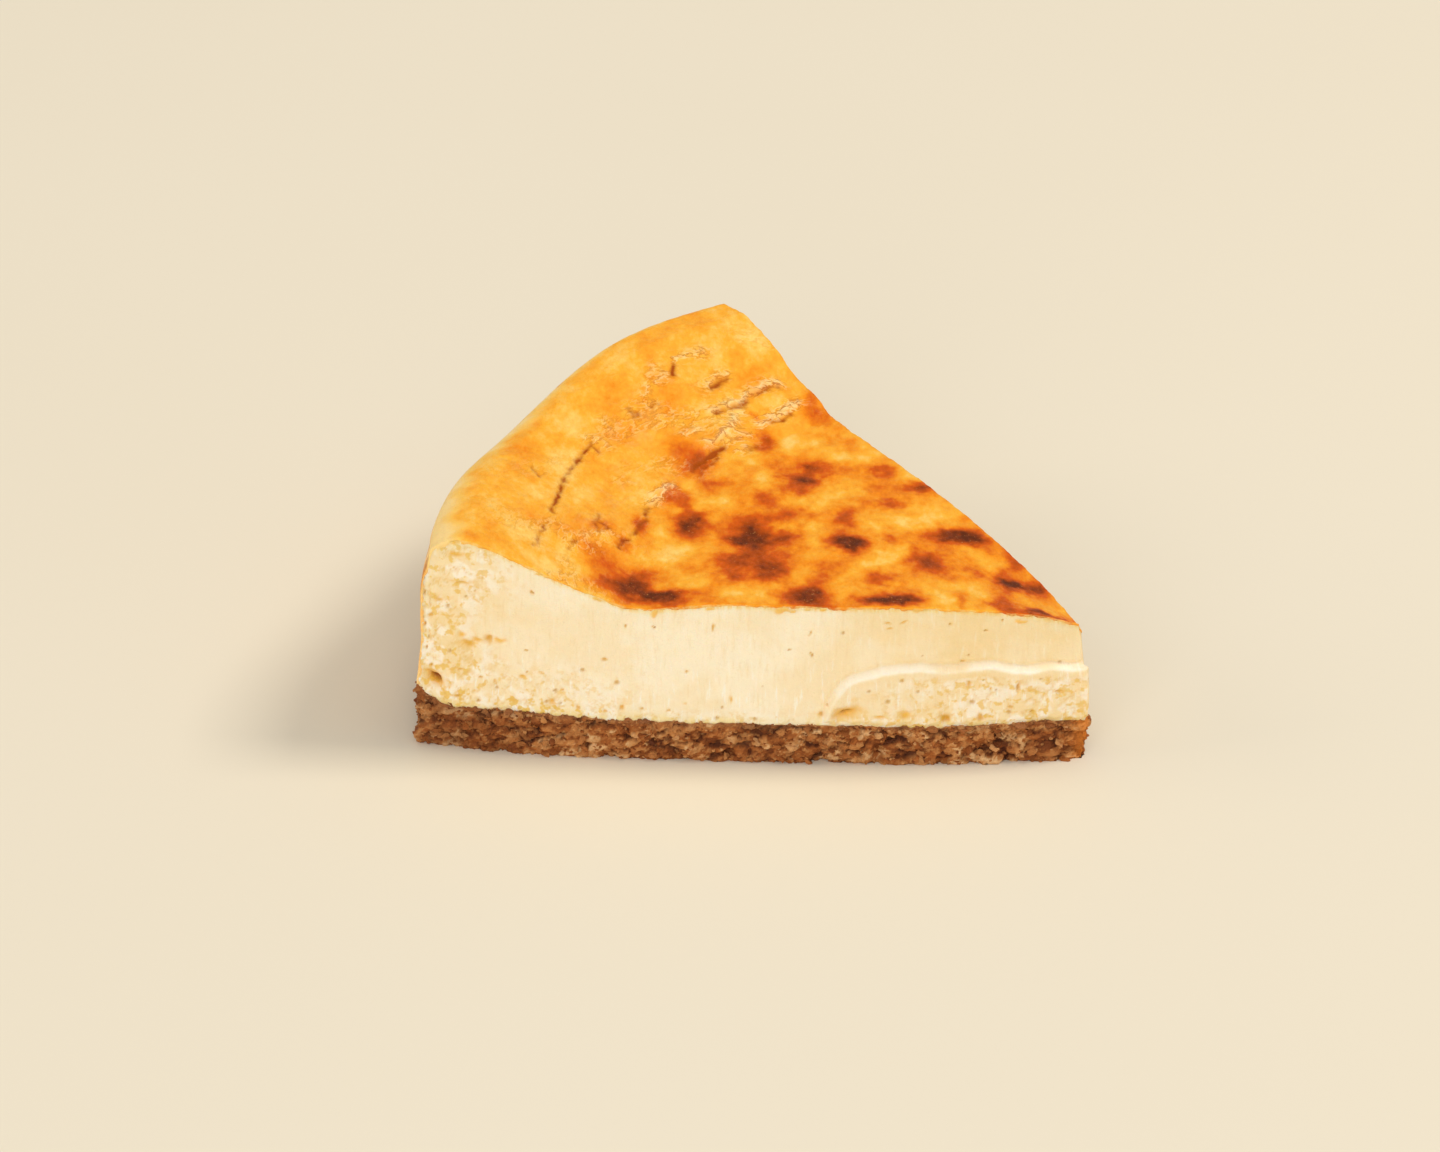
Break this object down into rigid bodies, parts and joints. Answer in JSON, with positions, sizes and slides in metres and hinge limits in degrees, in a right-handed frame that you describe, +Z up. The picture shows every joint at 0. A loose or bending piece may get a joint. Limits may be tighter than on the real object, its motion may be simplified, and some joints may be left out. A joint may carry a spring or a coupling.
{
  "type": "baked cheesecake slice",
  "caption": "Wedge of baked cheesecake: a tall cream filling with a scorched, wrinkled top and a raised rounded rim, on a pressed biscuit-crumb base.",
  "frame": {"origin": "middle of the bounding box at the underside, on the surface the slice rests on", "axes": "+X along the front cut towards the tip, the front cut faces -Y, +Z up"},
  "size_m": [0.116, 0.1008, 0.042],
  "materials": {
    "filling": "satin",
    "crumb_base": "matte"
  },
  "bodies": {
    "root": {"filling": "filling", "crumb_base": "crumb_base"}
  },
  "joints": []
}
